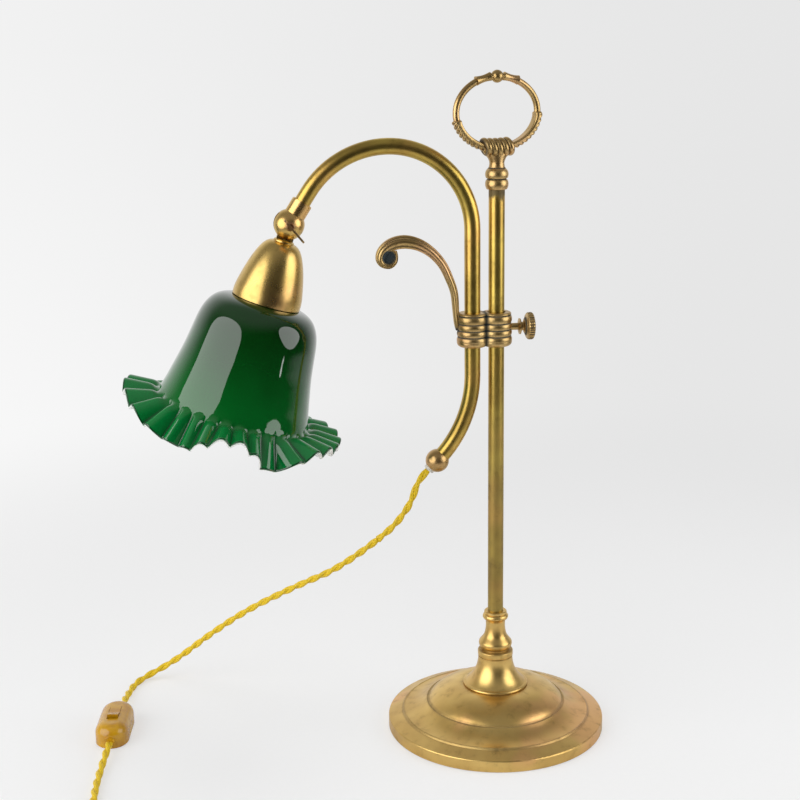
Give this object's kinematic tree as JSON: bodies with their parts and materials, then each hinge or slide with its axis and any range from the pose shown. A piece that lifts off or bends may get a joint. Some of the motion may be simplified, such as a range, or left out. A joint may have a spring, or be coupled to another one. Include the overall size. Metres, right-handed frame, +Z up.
{
  "type": "adjustable table lamp",
  "caption": "Antique brass rise-and-fall table lamp with a crook arm, scroll, ring handle and a tilting frilled green glass shade.",
  "frame": {"origin": "centre of the foot's underside, on the pole's axis", "axes": "+Z up the pole, -X towards the shade at rest, -Y towards the side seen in the picture"},
  "size_m": [0.432, 0.3857, 0.5405],
  "materials": {
    "satin_brass": "satin, lightly patinated",
    "tube_brass": "polished tube with fine brown specks",
    "cast_brass": "antique casting, dark in its grooves",
    "bright_brass": "satin, clean",
    "cast_iron": "rough casting",
    "felt": "pressed felt",
    "steel": "zinc plated",
    "silk_cord": "gold silk braid, twisted pair",
    "ivory": "moulded",
    "porcelain": "glazed white porcelain",
    "dark_plastic": "moulded",
    "gold_plastic": "moulded, gold coloured",
    "green_glass": "dark green outside, white inside, glossy",
    "bulb_glass": "frosted",
    "bulb_metal": "bright",
    "leather": "plain strap"
  },
  "bodies": {
    "stand": {"base_shell": "satin_brass", "base_weight": "cast_iron", "base_felt": "felt", "base_washer": "steel", "base_nut": "steel", "tie_rod": "steel", "bell_collar": "satin_brass", "stem_collar": "satin_brass", "pole_tube": "tube_brass", "pole_plug": "satin_brass", "handle_ferrule": "cast_brass", "handle_cradle": "cast_brass", "handle_hoop": "cast_brass", "handle_ball": "cast_brass", "cord_run": "silk_cord", "switch_lower": "gold_plastic", "switch_upper": "gold_plastic", "switch_screws": "steel", "cord_tail": "silk_cord", "cord_coil": "silk_cord", "coil_tie": "leather", "cord_lead": "silk_cord", "plug_body": "dark_plastic", "plug_pins": "satin_brass"},
    "slider": {"clamp_liner": "satin_brass"},
    "carriage": {"clamp_pole_boss": "cast_brass", "clamp_arm_boss": "cast_brass", "scroll": "cast_brass", "crook_arm": "tube_brass", "arm_end_ball": "cast_brass", "cord_bush": "ivory", "arm_flex": "silk_cord", "knuckle_socket": "bright_brass", "cord_drop": "silk_cord"},
    "clamp_screw": {"thumbscrew": "cast_brass"},
    "knuckle_lever": {"knuckle_screw": "bright_brass"},
    "head": {"knuckle_tongue": "bright_brass", "lamp_cup": "bright_brass", "cup_nut": "satin_brass", "head_flex": "silk_cord", "holder_cap": "satin_brass", "holder_insulator": "porcelain", "holder_plungers": "satin_brass", "holder_body": "satin_brass", "shade_ring": "dark_plastic", "shade": "green_glass", "bulb_cap": "bulb_metal", "bulb_glass": "bulb_glass"},
    "rocker": {"switch_rocker": "gold_plastic"}
  },
  "joints": [
    {"name": "height", "type": "slide", "parent": "stand", "child": "slider", "axis": [0, 0, 1], "range_m": [-0.13, 0.02], "deforming": ["cord_drop"]},
    {"name": "swing", "type": "hinge", "parent": "slider", "child": "carriage", "pos_m": [0, 0, 0.42753], "axis": [0, 0, 1], "range_deg": [-90, 90], "deforming": ["cord_drop"]},
    {"name": "tilt", "type": "hinge", "parent": "carriage", "child": "head", "pos_m": [-0.16188, 0, 0.42753], "axis": [0, 1, 0], "range_deg": [-30, 70]},
    {"name": "clamp_screw_turn", "type": "hinge", "parent": "carriage", "child": "clamp_screw", "pos_m": [0.02, 0, 0.341], "axis": [1, 0, 0], "range_deg": [0, 540]},
    {"name": "knuckle_lever_turn", "type": "hinge", "parent": "carriage", "child": "knuckle_lever", "pos_m": [-0.16188, 0, 0.42753], "axis": [0, 1, 0], "range_deg": [-120, 30]},
    {"name": "switch_rock", "type": "hinge", "parent": "stand", "child": "rocker", "pos_m": [-0.3186, 0.033, 0.0135], "axis": [0.9938, -0.1115, 0], "range_deg": [0, 14]}
  ]
}
